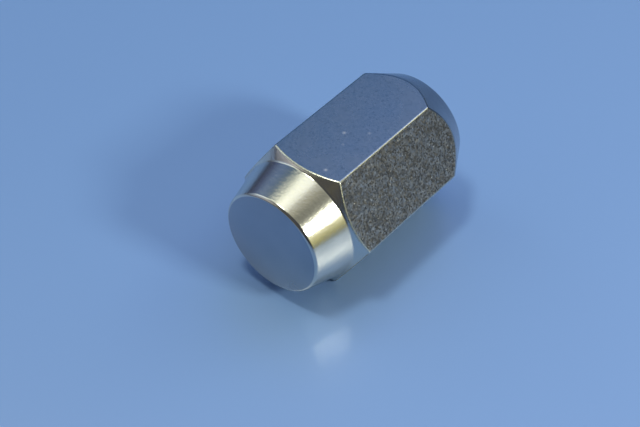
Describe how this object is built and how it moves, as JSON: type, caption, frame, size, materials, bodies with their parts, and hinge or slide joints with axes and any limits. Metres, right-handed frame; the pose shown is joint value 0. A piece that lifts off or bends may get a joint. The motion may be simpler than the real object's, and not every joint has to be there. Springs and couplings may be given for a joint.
{
  "type": "lug nut",
  "caption": "Closed-end wheel nut with a conical seat, a wrench hex with chamfered corners, a tapered boss with a crowned end and a blind threaded bore.",
  "frame": {"origin": "on the thread axis in the plane of the open end, which is the small end of the seat cone", "axes": "+Y along the thread axis, out of the open end; +Z square to the flat that is uppermost as the nut lies on the opposite one; +X towards a hex corner"},
  "size_m": [0.0242, 0.0359, 0.021],
  "materials": {
    "plated_steel": "bright plating over formed steel, smooth ends and finely pebbled flats"
  },
  "bodies": {
    "root": {"lug_nut": "plated_steel"}
  },
  "joints": []
}
